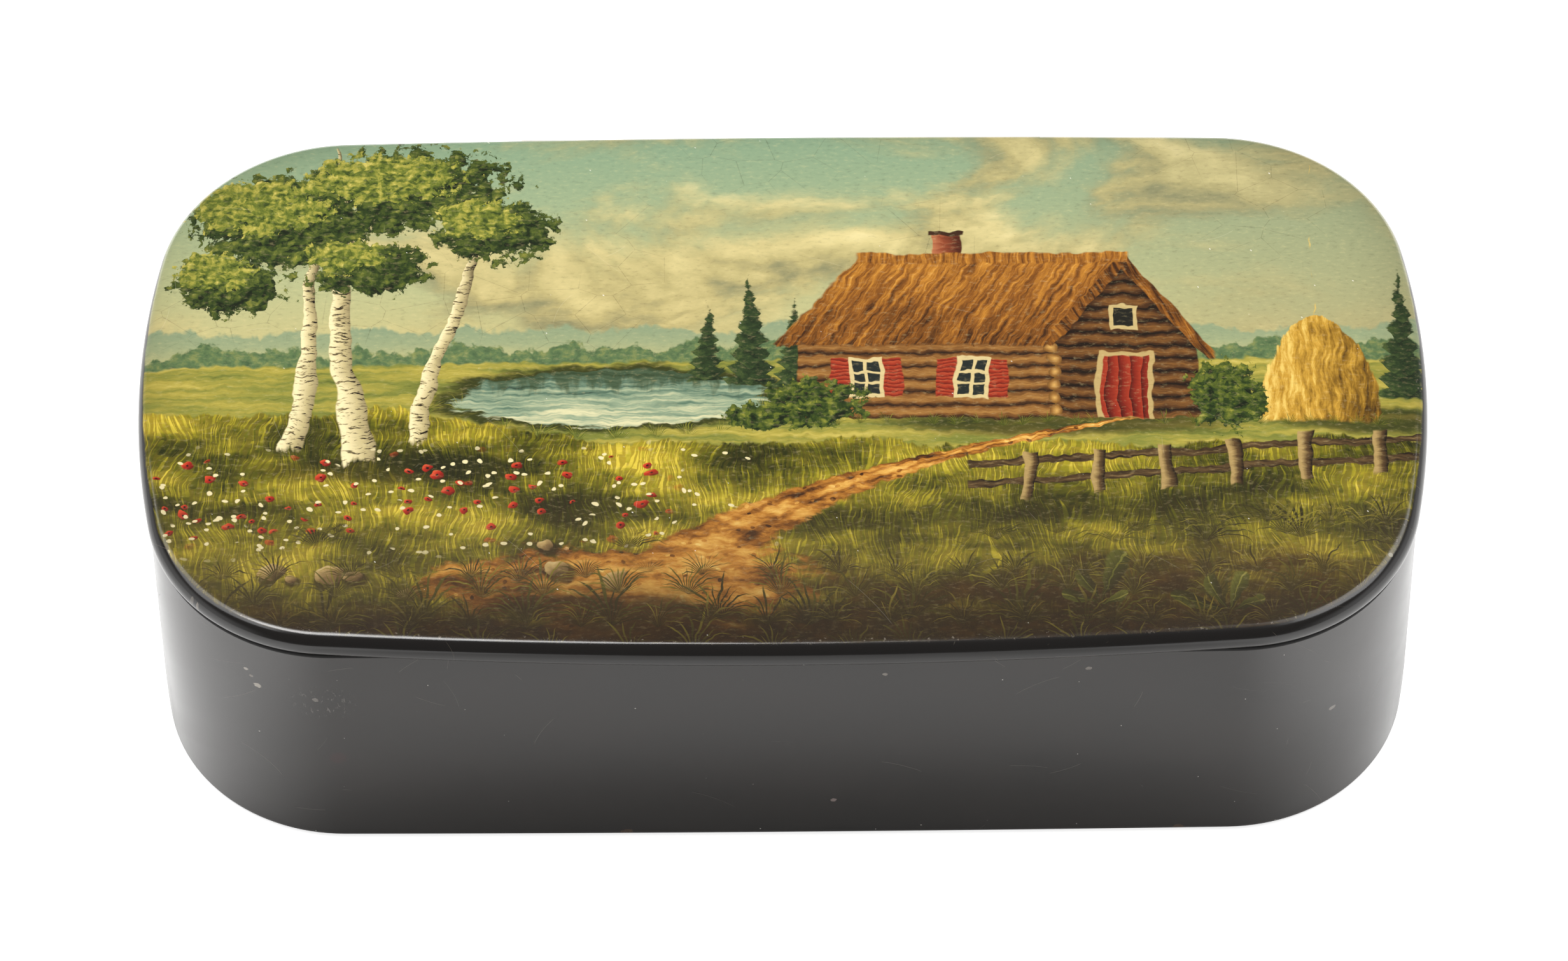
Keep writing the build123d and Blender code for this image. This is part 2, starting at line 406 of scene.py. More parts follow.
class Canvas:
    """Paints a surface with nodes, by its place in millimetres."""

    def __init__(self, tree, place):
        self.tree = tree
        self.place = place
        self.x, self.y, self.z = parts(tree, place, "XYZ")

    def join(self, x, y):
        """A flat place, from two numbers."""
        return add_node(self.tree, "CombineXYZ", X=x, Y=y).outputs[0]

    def spread(self, scale, shift, place=None, turn=0.0):
        """A place stretched along x and y, turned by an angle in radians, then moved."""
        node = add_node(self.tree, "Mapping", Vector=place or self.place, Location=(*shift, 0),
                        Rotation=(0, 0, turn), Scale=(*scale, 0))
        return node.outputs[0]

    def texture(self, kind, spot):
        """A flat texture at a place."""
        node = add_node(self.tree, "Tex" + kind)
        setattr(node, kind.lower() + "_dimensions", "2D")
        return fill(node, Vector=spot, Scale=1.0)

    def noise(self, scale, shift=(0, 0), detail=2.0, rough=0.5, warp=0.0, place=None, turn=0.0):
        """A cloudy field from 0 to 1, turned by an angle, with scale in waves to a millimetre."""
        if turn:
            place = self.spread((1, 1), (0, 0), place, turn)
        node = self.texture("Noise", self.spread(scale, shift, place))
        fill(node, Detail=detail, Roughness=rough, Distortion=warp)
        return Field(self.tree, node.outputs[0])

    def cells(self, scale, shift=(0, 0), place=None):
        """Scattered spots: the distance to the nearest, the way from it, and its own three chances."""
        spot = self.spread(scale, shift, place)
        node = self.texture("Voronoi", spot)
        way = add_node(self.tree, "VectorMath")
        way.operation = "SUBTRACT"
        feed(way.inputs[0], spot)
        feed(way.inputs[1], node.outputs["Position"])
        across, up, _ = parts(self.tree, way.outputs[0], "XYZ")
        own = parts(self.tree, node.outputs["Color"], "Color")
        return Field(self.tree, node.outputs["Distance"]), (across, up), own

    def cracks(self, scale, shift):
        """The distance to the nearest line of a net of cracks."""
        node = self.texture("Voronoi", self.spread(scale, shift))
        node.feature = "DISTANCE_TO_EDGE"
        return Field(self.tree, node.outputs["Distance"])

    def all_round(self):
        """A flat place for marks that run on over faces that look different ways."""
        return self.join(self.x + self.y * 0.55, self.z + self.y * 0.83)

    def ramp(self, value, *stops):
        """Colours at even steps of a field from 0 to 1."""
        node = add_node(self.tree, "ValToRGB")
        points = node.color_ramp.elements
        for _ in stops[2:]:
            points.new(0.5)
        for index, code in enumerate(stops):
            points[index].position = index / (len(stops) - 1)
            points[index].color = colour(code)
        feed(node.inputs[0], value)
        return node.outputs[0]

    def lay(self, below, above, mask, blend="MIX"):
        """One colour laid over another where the mask is 1."""
        node = add_node(self.tree, "Mix")
        node.data_type = "RGBA"
        node.blend_type = blend
        feed(node.inputs[0], mask)
        feed(node.inputs[6], below)
        feed(node.inputs[7], colour(above) if isinstance(above, str) else above)
        return node.outputs[2]

    def paint(self, above, mask, blend="MIX"):
        """Lay a colour over the picture on this canvas where the mask is 1."""
        self.picture = self.lay(self.picture, above, mask, blend)

    def relief(self, height, distance):
        """A normal bent by a height that counts in millimetres of distance."""
        return add_node(self.tree, "Bump", Distance=distance * MM, Height=height).outputs["Normal"]

    def group(self, tree, **inputs):
        """A node group at work: its outputs by name."""
        node = add_node(self.tree, "Group")
        node.node_tree = tree
        return by_name(self.tree, fill(node, **inputs).outputs)


def new_group(name, inputs, outputs):
    """An empty node group for numbers and a place, and what it is given, by name."""
    tree = bpy.data.node_groups.new(name, "ShaderNodeTree")
    for side, names in (("INPUT", inputs), ("OUTPUT", outputs)):
        for socket in names:
            kind = "Vector" if socket == "Place" else "Float"
            tree.interface.new_socket(name=socket, in_out=side, socket_type="NodeSocket" + kind)
    return tree, by_name(tree, tree.nodes.new("NodeGroupInput").outputs)


def make_blades():
    """Short blades of grass, one in each narrow cell."""
    inputs = ("X", "Y", "Width", "Height", "Seed")
    tree, value = new_group("grass_blades", inputs, ("Mask", "Along", "Chance"))
    wide = value["X"] / value["Width"]
    column = wide.floor()
    high = value["Y"] / value["Height"] + chance(tree, column, value["Seed"])[0]
    row = high.floor()
    own = chance(tree, column + value["Seed"], row)
    along = high - row
    bend = (own[0] - 0.5) * along * along * 0.7
    half = (1.0 - along) ** 0.7 * (own[1] * 0.2 + 0.14)
    mask = (half - abs(wide - column - 0.5 - bend)).fade(0.0, 0.1)
    fill(tree.nodes.new("NodeGroupOutput"), Mask=mask, Along=along, Chance=own[2])
    return tree


def make_fan():
    """Blades or leaves fanned out from one root in each cell."""
    inputs = ("X", "Y", "Cell", "Leaves", "Spread", "Droop", "Width", "Root Power", "Tip Power", "Seed")
    tree, value = new_group("fan_of_leaves", inputs, ("Mask", "Across", "Along", "Chance"))
    wide, high = value["X"] / value["Cell"], value["Y"] / value["Cell"]
    column, row = wide.floor(), high.floor()
    root = chance(tree, column + value["Seed"], row)
    dx = wide - column - 0.35 - root[0] * 0.3
    dy = high - row - 0.03 - root[1] * 0.12
    reach = apart(dx, dy)
    angle = dx.bearing(dy) / (reach * reach * value["Droop"] + 1.0)
    sector = angle * value["Leaves"]
    number = sector.floor()
    own = chance(tree, number + column * 7.0, row + value["Seed"])
    length = (own[0] * 0.4 + 0.44) * (1.0 - abs(angle) * 0.36)
    along = (reach / length).least(1.0)
    across = sector - number - 0.5
    half = along ** value["Root Power"] * (1.0 - along) ** value["Tip Power"] * value["Width"]
    inside = abs(angle).least(2.0)
    mask = (half - abs(across)).fade(0.0, 0.08) * (value["Spread"] - inside).fade(0.0, 0.02)
    fill(tree.nodes.new("NodeGroupOutput"), Mask=mask, Across=across, Along=along, Chance=own[1])
    return tree


def make_wear():
    """Marks of age on lacquer: hairline scratches, dust, a mottled sheen and a slow ripple."""
    tree, value = new_group("lacquer_wear", ("Place",), ("Scratches", "Dust", "Mottle", "Ripple"))
    c = Canvas(tree, value["Place"])
    flat = c.all_round()
    _, (dx, dy), own = c.cells((0.13, 0.13), (0.4, 0.2), flat)
    turn = own[0] * math.tau
    cosine, sine = (turn + QUARTER_TURN).wave(), turn.wave()
    across = abs(dx * sine - dy * cosine + (dx * dx + dy * dy) * 0.25)
    along = abs(dx * cosine + dy * sine)
    scratches = across.fade(0.006, 0.002) * (own[1] * 0.5 - along).fade(0.0, 0.1) * own[2].fade(0.4, 0.9)
    away, _, own = c.cells((0.2, 0.2), (3.0, 7.0), flat)
    dust = (own[0] * own[0] * 0.022 - away).fade(0.0, 0.006) * own[1].fade(0.55, 0.6)
    mottle = c.noise((0.045, 0.07), (2.0, 1.0), 5, 0.6, place=flat)
    ripple = c.noise((0.12, 0.12), (1.0, 5.0), 2, 0.4, place=flat)
    fill(tree.nodes.new("NodeGroupOutput"), Scratches=scratches, Dust=dust, Mottle=mottle, Ripple=ripple)
    return tree


BLADES = make_blades()
FAN = make_fan()
WEAR = make_wear()


# Places and sizes in the picture, in millimetres from the middle of the lid
COTTAGE_X, COTTAGE_Y, COTTAGE_SCALE = 27.0, -7.0, 1.32
DOOR, CORNER_POST, LOG = 11.8, 5.0, 1.55
POND_X, POND_Y, POND_WIDE, POND_HIGH = -21.0, -3.4, 20.0, 4.6
POST_SPACING = 8.6
# Spots to a millimetre, along x and y
STONES, POPPIES, DAISIES = (0.17, 0.25), (0.3, 0.42), (0.5, 0.66)


def paint_shadow(c, x, y, wide, high, depth):
    """A soft shadow on the ground, as an ellipse."""
    dx, dy = (c.x - x) / wide, (c.y - y) / high
    c.paint("171b08", (dx * dx + dy * dy).fade(1.0, 0.25) * depth)


def paint_sky(c):
    """A pale green-blue sky that warms towards the horizon, with cream clouds, duller on the right."""
    height = (c.y - 3.0) / 38.0
    c.picture = c.ramp(height, "c0b98f", "abb495", "93a994", "7c9c8f")
    puff = c.noise((0.030, 0.062), (3.1, 0.4), 6, 0.56, 0.3)
    below = c.noise((0.030, 0.062), (3.17, 0.5), 4, 0.56, 0.3)
    middle = 1.0 - abs(c.x - 8.0) / 85.0
    cloud = (puff + middle * 0.12).fade(0.48, 0.7)
    lit = (puff - below) * 3.0 + 0.34
    c.paint(c.ramp(lit, "7f7f68", "b4aa80", "d6cb9f", "ebe1ba"), cloud * 0.85)
    c.paint("878a75", c.x.fade(10, 85) * 0.5)


def paint_far_trees(c):
    """Two misty rows of trees on the horizon."""
    far = c.noise((0.09, 0.0), (1.3, 2.0), 3) * 5.0 + c.noise((0.7, 0.5), (0.2, 5.0), 2) * 1.8
    c.paint(c.ramp((c.y - 3.0) / 5.0, "b3b58f", "94a38a", "869b88"), (far + 4.4 - c.y).fade(-0.3, 0.5))
    near = c.noise((0.13, 0.0), (7.7, 1.0), 3) * 7.0 + c.noise((0.9, 0.7), (4.0, 2.0), 3) * 2.4
    leaf = c.noise((0.8, 0.9), (9.0, 3.0), 3, 0.6)
    c.paint(c.ramp(leaf * 1.6 - 0.3, "3d5742", "5a7555", "848f5e"), (near + 0.2 - c.y).fade(-0.2, 0.4))


def paint_meadow(c):
    """The hazy meadow behind the pond."""
    streak = c.noise((0.06, 0.7), (2.0, 8.0), 4, 0.6)
    grass = c.ramp(streak * 1.8 - 0.4, "55632f", "7d8440", "a39c4b", "c2b665")
    edge = c.noise((0.3, 0.0), (5.0, 5.0), 2) * 1.6 + 1.6
    c.paint(grass, (edge - c.y).fade(-0.2, 0.3))


def paint_pond(c):
    """Still water with the far bank's reflection in it, and a dark bank and reeds round it."""
    ragged = c.noise((0.14, 0.7), (3.0, 1.0), 4, 0.65) - 0.5
    dx, dy = (c.x - POND_X) / POND_WIDE, (c.y - POND_Y) / POND_HIGH
    away = apart(dx, dy) + ragged * 0.5
    c.paint("353b18", away.fade(1.25, 1.02))
    ripple = c.noise((0.1, 1.7), (6.0, 0.0), 4, 0.6)
    water = c.ramp(ripple * 1.5 - dy * 0.4 - 0.2, "2f4742", "5f7d75", "93a89a", "d3d5bd")
    smear = c.noise((0.5, 0.12), (2.0, 4.0), 3, 0.6)
    water = c.lay(water, "34452c", (dy + smear * 1.5 - 0.75).fade(0.2, 0.7) * 0.75)
    c.paint(water, away.fade(1.0, 0.92))
    reeds = away.between(0.94, 1.35, 0.06) * dy.fade(0.5, -0.3)
    paint_tufts(c, 4.6, (0.3, 0.9), reeds, ("20290d", "5d6a25", "a5a04a"), 31.0, 1.2)


def paint_thatch(c, mask, slant, tone):
    """Straw thatch combed down a slope that slants by an angle in radians."""
    straw = c.noise((1.6, 0.16), (0.0, 3.0), 4, 0.65, turn=slant)
    c.paint(c.ramp(straw * 1.5 - 0.55 + tone, "3d230f", "85531f", "bd8335", "e3b765"), mask)


def paint_logs(c, mask, height, shade):
    """A wall of round logs laid on each other."""
    course = (height / LOG).fraction()
    grain = c.noise((0.35, 4.0), (1.0, 1.0), 3, 0.6)
    tone = (course * (1.0 - course)) * 2.6 + grain * 0.5 - 0.35 + course * 0.25 + shade
    c.paint(c.ramp(tone, "1d120a", "4c301a", "835a30", "b58a52"), mask)


def paint_cottage(c):
    """A thatched log cottage with red shutters and a red door."""
    x, y = (c.x - COTTAGE_X) / COTTAGE_SCALE, (c.y - COTTAGE_Y) / COTTAGE_SCALE
    side = x.between(-19.0, CORNER_POST, 0.1) * y.between(0.0, 10.0, 0.1)
    eaves = y.fade(8.2, 9.8) * 0.5
    paint_logs(c, side, y, 0.1 - eaves)
    gable_top = 19.2 - abs(x - DOOR) * 1.42
    gable = x.between(CORNER_POST, 18.6, 0.1) * (gable_top - y).fade(0.0, 0.2) * y.fade(-0.1, 0.1)
    paint_logs(c, gable, y + 0.7, (gable_top - y).fade(3.0, 0.5) * -0.3 - 0.14)
    course = (y / LOG).fraction() - 0.5
    butt = ((x - CORNER_POST) * (x - CORNER_POST) + course * course * 2.4).root()
    c.paint(c.ramp(butt, "d2a867", "8f6634", "23150a"), butt.fade(0.78, 0.68) * y.between(0.1, 9.0, 0.1))
    pane_x, pane_y = abs(abs(x + 7.6) - 5.0), abs(y - 4.9)
    slats = c.ramp((y * 2.2).fraction(), "5f1710", "97301f", "b04a33")
    c.paint(slats, pane_x.fade(3.5, 3.35) * pane_y.fade(2.3, 2.15))
    c.paint("cfc19b", pane_x.fade(1.75, 1.62) * pane_y.fade(2.45, 2.32))
    glass = pane_x.fade(1.35, 1.25) * pane_y.fade(2.0, 1.9) * pane_x.fade(0.12, 0.22)
    c.paint("20282a", glass * abs(pane_y - 0.6).fade(0.1, 0.2))
    door_x = abs(x - DOOR)
    c.paint("b7a276", door_x.fade(2.7, 2.55) * y.between(0.0, 7.9, 0.08))
    boards = c.ramp((x * 0.9).fraction() + y * 0.02, "3a0d08", "7f2317", "9c3523")
    c.paint(boards, door_x.fade(2.2, 2.1) * y.between(0.0, 7.4, 0.08))
    loft_y = abs(y - 12.2)
    c.paint("bfae84", door_x.fade(1.5, 1.38) * loft_y.fade(1.6, 1.48))
    c.paint("1c1d1a", door_x.fade(1.05, 0.95) * loft_y.fade(1.15, 1.05))
    brick = c.ramp((x + 6.2) * 0.36 + (y * 1.4).fraction() * 0.2, "b9775a", "8a4630", "4a2216")
    c.paint(brick, x.between(-6.2, -3.4, 0.08) * y.between(17.5, 22.6, 0.08))
    c.paint("3a2417", x.between(-6.5, -3.1, 0.08) * y.between(22.3, 22.9, 0.08))
    up = (y - 9.0) / 10.6
    left_edge, right_edge = up * 8.0 - 21.2, up * 6.6 + 5.4
    fringe = c.noise((1.0, 0.0), (2.0, 6.0), 3, 0.6) * 1.4
    slope = (x - left_edge).fade(-0.2, 0.2) * (right_edge - x).fade(-0.2, 0.2)
    slope = slope * (y - 8.1 - fringe).fade(-0.1, 0.2) * (19.6 - y).fade(-0.1, 0.2)
    paint_thatch(c, slope, 0.51, up * 0.3)
    verge = abs(y - gable_top + 0.1).fade(1.15, 0.9) * x.between(5.2, 20.2, 0.2) * y.fade(6.9, 7.3)
    paint_thatch(c, verge, -0.46, -0.02)
    ridge = abs(y - 19.5).fade(0.75, 0.5) * x.between(-13.4, 12.2, 0.2)
    paint_thatch(c, ridge, 0.0, 0.22)


def paint_haystack(c, left, foot, half, tall):
    """A stack of hay, lit from the left."""
    up = (c.y - foot) / tall
    strand = c.noise((1.3, 0.25), (left, 0.0), 4, 0.65)
    width = (1.0 - up.most(0.0)).most(0.0) ** 0.6 * (0.86 + up * 0.45) * half
    across = (c.x - left) / half
    mask = (width - abs(c.x - left) + strand * 1.2 - 0.6).fade(0.0, 0.3) * up.fade(-0.02, 0.02)
    tone = strand * 1.4 - across * 0.4 - 0.2 + up * 0.1
    c.paint(c.ramp(tone, "3f2c10", "85641f", "c29a3f", "e8cd7c"), mask)


def paint_spruces(c):
    """Dark spruces in the middle distance."""
    needle = c.noise((0.9, 1.5), (4.0, 8.0), 4, 0.7)
    trees = (-9.5, -1.0, 12.0, 2.6), (-4.0, -1.5, 16.5, 3.4), (1.5, -2.0, 13.0, 3.0), (77.0, -4.0, 17.0, 3.6)
    for x, foot, top, wide in trees:
        down = (top - c.y) / (top - foot)
        bough = (down * 7.0 + abs(c.x - x) * 0.35).fraction()
        half = down * (0.62 + bough * 0.5) * wide
        across = (c.x - x) / wide
        tone = needle * 1.3 - 0.35 - across * 0.25 + bough * 0.25
        green = c.ramp(tone, "121d12", "2a3d24", "52653a")
        mask = (half - abs(c.x - x) + needle * 1.2 - 0.6).fade(0.0, 0.3) * down.between(0.0, 1.0, 0.01)
        c.paint(green, mask)


def paint_crown(c, blobs, shades, dab, seed):
    """A leafy crown over ellipses, lit from the upper left."""
    wave = 0.26 / dab
    ragged = c.noise((wave, wave), (seed, 1.0), 5, 0.66)
    shape = None
    for x, y, wide, high in blobs:
        dx, dy = (c.x - x) / wide, (c.y - y) / high
        dome = 1.0 - dx * dx - dy * dy
        glow = (dy - dx * 0.6) * dome.fade(-0.4, 0.1)
        lit = glow if shape is None else lit.most(glow)
        shape = dome if shape is None else shape.most(dome)
    shadow = c.noise((wave, wave), (seed - 0.2, 1.25), 3, 0.6)
    _, _, own = c.cells((1.0 / dab, 1.3 / dab), (seed, 4.0))
    tone = (ragged - shadow) * 1.5 + own[0] * 0.42 + lit * 0.14 + 0.15
    c.paint(c.ramp(tone, *shades), (shape + ragged * 2.6 - 1.5).fade(0.0, 0.1))


def paint_birches(c):
    """Three white birches with leafy heads, shaded behind and lit in front."""
    bark = c.noise((0.5, 2.3), (8.0, 8.0), 3, 0.7)
    foot_grass = c.noise((1.1, 0.2), (3.0, 3.0), 2) * 0.07
    trunks = (-61.0, 0.1, -12.0, 33.0, 1.5), (-53.0, -0.06, -14.5, 36.0, 1.9), (-45.0, 0.17, -11.5, 32.0, 1.3)
    for root, lean, foot, top, wide in trunks:
        up = (c.y - foot) / (top - foot)
        centre = (c.y - foot) * lean + (c.y * 0.16 + root).wave() * 0.8 + root
        across = (c.x - centre) / ((1.15 - up) * wide)
        mask = abs(across).fade(1.0, 0.85) * (up - foot_grass).between(0.0, 1.0, 0.01)
        tone = 0.78 - across * 0.36 - bark.fade(0.55, 0.66) * 0.7 - up.fade(0.45, 0.7) * 0.2
        c.paint(c.ramp(tone, "1f1912", "6f6550", "bdb391", "ece4c8"), mask)
    heads = ((-62, 26, 14, 9), (-47, 31, 15, 8), (-36, 24, 9, 6), (-69, 16, 8, 6), (-52, 18, 9, 5))
    paint_crown(c, heads, ("141f0e", "2b3d1b", "52612b", "868a42"), 0.62, 2.0)
    lit = ((-66, 28.5, 10, 5), (-50, 33, 11, 4.6), (-38, 26, 6, 3.6), (-71, 18, 5.5, 3.6), (-55, 20, 6, 3))
    paint_crown(c, lit, ("34461d", "667530", "a0a04c", "cdc374"), 0.5, 8.0)


def paint_near_ground(c):
    """The near meadow: lit tufts over dark turf, rising on the left."""
    swell = c.noise((0.035, 0.0), (4.0, 3.0), 2) * 8.0
    rise = c.x.fade(-5.0, -70.0) * 6.0
    ragged = c.noise((0.9, 0.25), (1.0, 9.0), 2) * 1.8
    ground = (swell + rise + ragged - 15.5 - c.y).fade(-0.2, 0.4)
    light = c.noise((0.045, 0.12), (6.0, 2.0), 4, 0.6)
    c.paint(c.ramp(light * 2.2 - 0.6, "201f09", "434312", "7a7222", "a89630"), ground)
    leaning = c.noise((0.1, 0.085), (2.0, 2.0), 1) * 5.5 + c.x
    for wide, high, seed in ((0.55, 2.2, 3.0), (0.68, 3.0, 11.0), (0.8, 3.8, 23.0)):
        blades = c.group(BLADES, X=leaning, Y=c.y, Width=wide, Height=high, Seed=seed)
        tone = blades["Chance"] * 0.42 + blades["Along"] * 0.35 + (light - 0.5) * 2.4 + 0.1
        c.paint(c.ramp(tone, "252b08", "5b5e13", "a09828", "ddcb50"), blades["Mask"] * ground * 0.9)


def paint_path(c):
    """An ochre path from a sandy hollow up to the cottage's door."""
    up = ((c.y + 41.0) / 34.0).most(0.0)
    centre = up * 12.0 + up * up * up * 49.0 - 18.0
    half = (1.0 - up).most(0.0) ** 1.1 * 13.0 + 1.5
    ragged = c.noise((0.2, 0.42), (3.0, 7.0), 5, 0.66) - 0.5
    across = (c.x - centre) / half
    hollow = apart((c.x + 20.0) / 27.0, (c.y + 32.0) / 6.0)
    away = abs(across).least(hollow) + ragged * 0.9
    dirt = c.noise((0.11, 0.36), (1.0, 2.0), 6, 0.68)
    pebble, _, own = c.cells((0.5, 0.7), (2.0, 2.0))
    rut = abs(abs(across) - 0.38).fade(0.16, 0.05) * hollow.fade(0.9, 1.3) * 0.2
    tone = dirt * 2.1 - 0.4 - away * 0.42 - rut + (pebble - 0.12).fade(0.06, 0.0) * (own[0] - 0.6) * 0.7
    earth = c.ramp(tone, "381d09", "82501c", "bb8036", "dcac5c", "f0d28a")
    c.paint(earth, away.fade(1.0, 0.78) * up.fade(1.01, 0.98))


def paint_fence(c):
    """A weathered fence of posts and two rails."""
    x, y = c.x, c.y + 19.5 - (c.x - 30.0) * 0.08
    wobble = (c.noise((0.09, 0.0), (2.0, 4.0), 1) - 0.5) * 1.4
    reach = x.between(22.5, 90.0, 0.2)
    bark = c.noise((0.25, 2.4), (5.0, 1.0), 3, 0.6)
    rail = abs(abs(y - 4.3 - wobble) - 1.5)
    top = bark * 1.3 - 0.2 - rail * 0.5
    c.paint(c.ramp(top, "1d140c", "58452f", "9c8560"), rail.fade(0.62, 0.48) * reach)
    number = (x / POST_SPACING).floor()
    own = chance(c.tree, number, 3.0)
    across = (x / POST_SPACING - number - 0.5) * POST_SPACING + (own[0] - 0.5) * y * 0.3
    post = c.ramp(0.62 - across * 0.75 + bark * 0.6 - 0.3, "19110a", "57432d", "ab9469")
    tall = own[1] * 1.2 + 7.0
    stand = (tall - y).fade(0.0, 0.3) * (y + bark * 1.5 - 0.7).fade(0.0, 0.6)
    c.paint(post, abs(across).fade(0.95, 0.8) * stand * reach)


def paint_stones(c):
    """Rounded stones beside the path, lit from the upper left."""
    away, (dx, dy), own = c.cells(STONES, (2.3, 0.6))
    size = own[0] * 0.26 + 0.13
    x, y = c.x - dx / STONES[0], c.y - dy / STONES[1]
    here = x.between(-68.0, -20.0, 0.5) * y.between(-33.0, -25.0, 0.5) * own[2].fade(0.3, 0.31)
    grain = c.noise((0.7, 0.9), (0.0, 0.0), 4, 0.6)
    tone = (dy - dx) / size * 0.3 + 0.15 + grain * 0.5
    stone = c.ramp(tone, "33261a", "836c4c", "bfa678", "e9dab0")
    lump = away + (grain - 0.5) * 0.08
    cast = size * 1.15 - away - dy * 0.4 + dx * 0.2
    c.paint("151205", cast.fade(-0.03, 0.06) * here * 0.85)
    c.paint(stone, (size - lump).fade(0.0, 0.03) * here)


def paint_flowers(c):
    """Red poppies and small white daisies in the grass on the left."""
    away, (dx, dy), own = c.cells(POPPIES, (1.7, 5.3))
    x, y = c.x - dx / POPPIES[0], c.y - dy / POPPIES[1]
    drift = c.noise((0.05, 0.1), (7.0, 7.0), 1)
    here = x.between(-82.0, -14.0, 3.0) * y.between(-25.0, -12.0, 1.0)
    here = here * (own[0] * 0.6 + drift).fade(0.72, 0.74)
    size = own[1] * 0.13 + 0.13
    bloom = c.ramp((dy - dx) / size * 0.35 + 0.45, "4d0c08", "a8231a", "df5a3a")
    petal = away + c.noise((1.6, 1.6), (0.0, 2.0), 1) * 0.08 - 0.04
    c.paint(bloom, (size - petal).fade(0.0, 0.04) * here)
    c.paint("170c07", away.fade(0.07, 0.03) * here)
    away, (dx, dy), own = c.cells(DAISIES, (8.0, 3.0))
    x, y = c.x - dx / DAISIES[0], c.y - dy / DAISIES[1]
    here = x.between(-80.0, -2.0, 4.0) * y.between(-27.0, -11.0, 1.5)
    here = here * (own[2] * 0.6 + drift).fade(0.86, 0.88)
    c.paint("e6dfc2", away.fade(0.19, 0.13) * here)


def paint_tufts(c, cell, shift, region, shades, seed, droop=2.5):
    """Tufts of long grass fanned out in a region."""
    fan = c.group(FAN, X=c.x + shift[0], Y=c.y + shift[1], Cell=cell, Leaves=7.0, Spread=1.15, Droop=droop,
                  Width=0.42, Root_Power=0.0, Tip_Power=0.8, Seed=seed)
    c.paint(c.ramp(fan["Chance"] * 0.5 + fan["Along"] * 0.5, *shades), fan["Mask"] * region)


def paint_foreground(c):
    """Dark earth along the front with broad leaves and long grass."""
    ragged = c.noise((0.045, 0.16), (5.0, 5.0), 5, 0.62)
    depth = ragged * 20.0 + c.x.fade(-15.0, 65.0) * 5.0 - 44.0
    dark = c.ramp(c.noise((0.3, 0.5), (2.0, 1.0), 5, 0.65) * 1.6 - 0.3, "0c0804", "2a1b0b", "523815")
    c.paint(dark, (depth - c.y).fade(-4.0, 4.0) * 0.95)
    front = (depth + 7.0 - c.y).fade(-1.5, 1.5)
    paint_tufts(c, 12.0, (2.0, 3.0), front, ("0d0e04", "2c300d", "6b6b26"), 5.0)
    paint_tufts(c, 9.0, (6.0, 7.5), front, ("141506", "454616", "98903a"), 41.0)
    leaf = c.group(FAN, X=c.x - 30.5, Y=c.y + 37.5, Cell=15.0, Leaves=1.35, Spread=1.6,
                   Droop=0.5, Width=0.72, Root_Power=0.6, Tip_Power=0.45, Seed=9.0)
    rib = abs(leaf["Across"]).fade(0.035, 0.015) * 0.35
    vein = (leaf["Along"] * 9.0 - abs(leaf["Across"]) * 5.0).fraction().fade(0.25, 0.0) * 0.1
    tone = 0.3 - leaf["Across"] * 0.75 + leaf["Along"] * 0.3 + rib - vein + (leaf["Chance"] - 0.5) * 0.35
    green = c.ramp(tone, "0f1407", "2c3613", "5d6528", "9a994f")
    clump = c.x.between(30.6, 60.3, 0.05) * c.y.between(-37.4, -22.6, 0.05)
    c.paint(green, leaf["Mask"] * clump)
    paint_tufts(c, 7.5, (5.0, 1.5), front, ("0f0f05", "34340f", "a0933f"), 17.0)


def paint_age(c):
    """Brush grain, fine cracks and a yellowed varnish, darker round the edge and in front."""
    grain = c.noise((0.9, 2.2), (5.0, 3.0), 4, 0.65)
    c.paint("fff0c4", grain.fade(0.52, 0.8) * 0.12)
    c.paint("1a1006", grain.fade(0.46, 0.2) * 0.22)
    crack = c.cracks((0.16, 0.22), (1.0, 1.0)) + grain * 0.02
    cracked = c.noise((0.04, 0.04), (9.0, 9.0), 2).fade(0.5, 0.7)
    c.paint("2a1c0c", crack.fade(0.02, 0.012) * cracked * 0.3)
    c.paint("fff6d9", 1.0, "MULTIPLY")
    dx, dy = c.x / 84.0, c.y / 44.0
    corner = (dx * dx * dx * dx + dy * dy * dy * dy).fade(0.45, 1.2)
    c.paint("6b5a3a", corner * 0.55, "MULTIPLY")
    c.paint("54432e", c.y.fade(-10.0, -34.0) * 0.4)
    c.paint("4a3a28", c.y.fade(-27.0, -41.0) * 0.6, "MULTIPLY")


